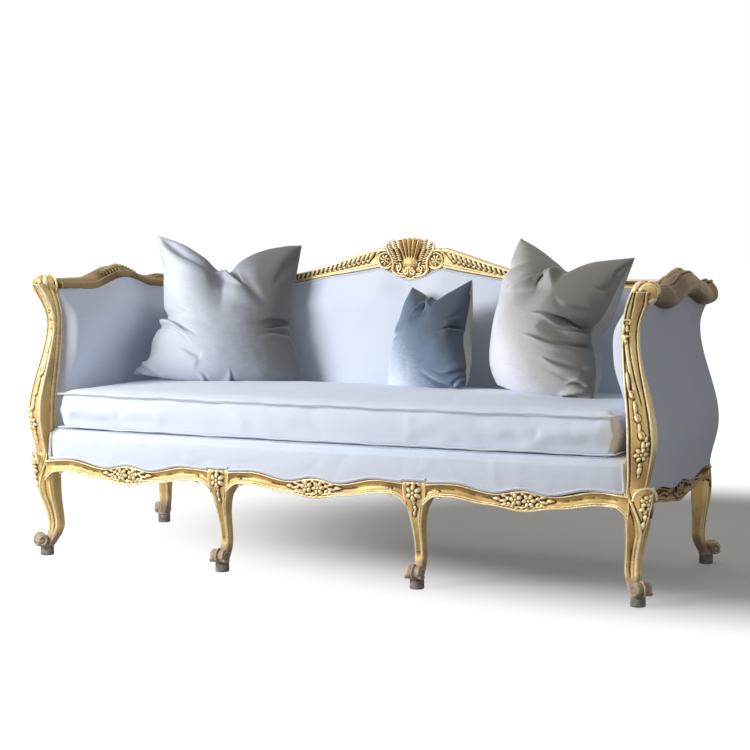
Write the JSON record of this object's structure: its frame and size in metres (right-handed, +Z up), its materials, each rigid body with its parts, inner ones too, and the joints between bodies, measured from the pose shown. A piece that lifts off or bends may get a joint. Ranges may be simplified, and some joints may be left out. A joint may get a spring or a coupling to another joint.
{
  "type": "cabriole sofa",
  "caption": "Carved and gilded sofa with cabriole legs, a serpentine crest with a shell, upholstered arms and back, a loose seat cushion and loose scatter cushions.",
  "frame": {"origin": "on the floor under the middle of the sofa", "axes": "+X along the sofa to its right arm as seen from the back, -Y the front, +Z up"},
  "size_m": [1.926, 0.7823, 0.9539],
  "materials": {
    "gilt": "carved and gilded, worn to its brown ground in the hollows",
    "worn_gilt": "worn grey",
    "beech": "bare",
    "jute": "coarse weave",
    "cambric": "plain weave",
    "linen": "pale blue-white linen weave",
    "silver_velvet": "silver-grey velvet",
    "blue_velvet": "slate-blue velvet, greige linen at the back"
  },
  "bodies": {
    "frame": {"leg_front_left": "gilt", "leg_front_right": "gilt", "leg_rear_left": "gilt", "leg_rear_right": "gilt", "leg_middle_left": "gilt", "leg_middle_right": "gilt", "front_rail_centre": "gilt", "front_rail_left": "gilt", "front_rail_right": "gilt", "side_rail_left": "gilt", "side_rail_right": "gilt", "rear_rail": "gilt", "arm_post_left": "gilt", "arm_post_right": "gilt", "arm_rail_left": "gilt", "arm_rail_right": "gilt", "crest_rail_left": "gilt", "crest_rail_right": "gilt", "crest_shell": "gilt", "foot_front_left": "worn_gilt", "foot_front_right": "worn_gilt", "foot_middle_left": "worn_gilt", "foot_middle_right": "worn_gilt", "foot_rear_left": "worn_gilt", "foot_rear_right": "worn_gilt", "back_post_left": "beech", "back_post_right": "beech", "arm_stay_left": "beech", "arm_stay_right": "beech", "back_stay": "beech", "back_stile_left": "beech", "back_stile_right": "beech", "seat_brace_left": "beech", "seat_brace_right": "beech", "corner_brace_front_left": "beech", "corner_brace_front_right": "beech", "corner_brace_rear_left": "beech", "corner_brace_rear_right": "beech", "seat_webbing": "jute", "seat_hessian": "jute", "dust_cover": "cambric", "arm_cover_left": "linen", "arm_cover_right": "linen", "arm_pad_left": "linen", "arm_pad_right": "linen", "back_cover": "linen", "back_pad": "linen", "seat_deck": "linen"},
    "seat_cushion": {"seat_cushion": "linen"},
    "pillow_left": {"pillow_left": "silver_velvet"},
    "pillow_small": {"pillow_small": "blue_velvet"},
    "pillow_right": {"pillow_right": "silver_velvet"}
  },
  "joints": [
    {"name": "seat_cushion_lift", "type": "slide", "parent": "frame", "child": "seat_cushion", "axis": [0, -0.99, 0.141], "range_m": [0, 0.75]},
    {"name": "pillow_left_lift", "type": "slide", "parent": "seat_cushion", "child": "pillow_left", "axis": [0, -0.5, 0.866], "range_m": [0, 0.5]},
    {"name": "pillow_small_lift", "type": "slide", "parent": "seat_cushion", "child": "pillow_small", "axis": [0, -0.5, 0.866], "range_m": [0, 0.5]},
    {"name": "pillow_right_lift", "type": "slide", "parent": "seat_cushion", "child": "pillow_right", "axis": [0, -0.5, 0.866], "range_m": [0, 0.5]}
  ]
}
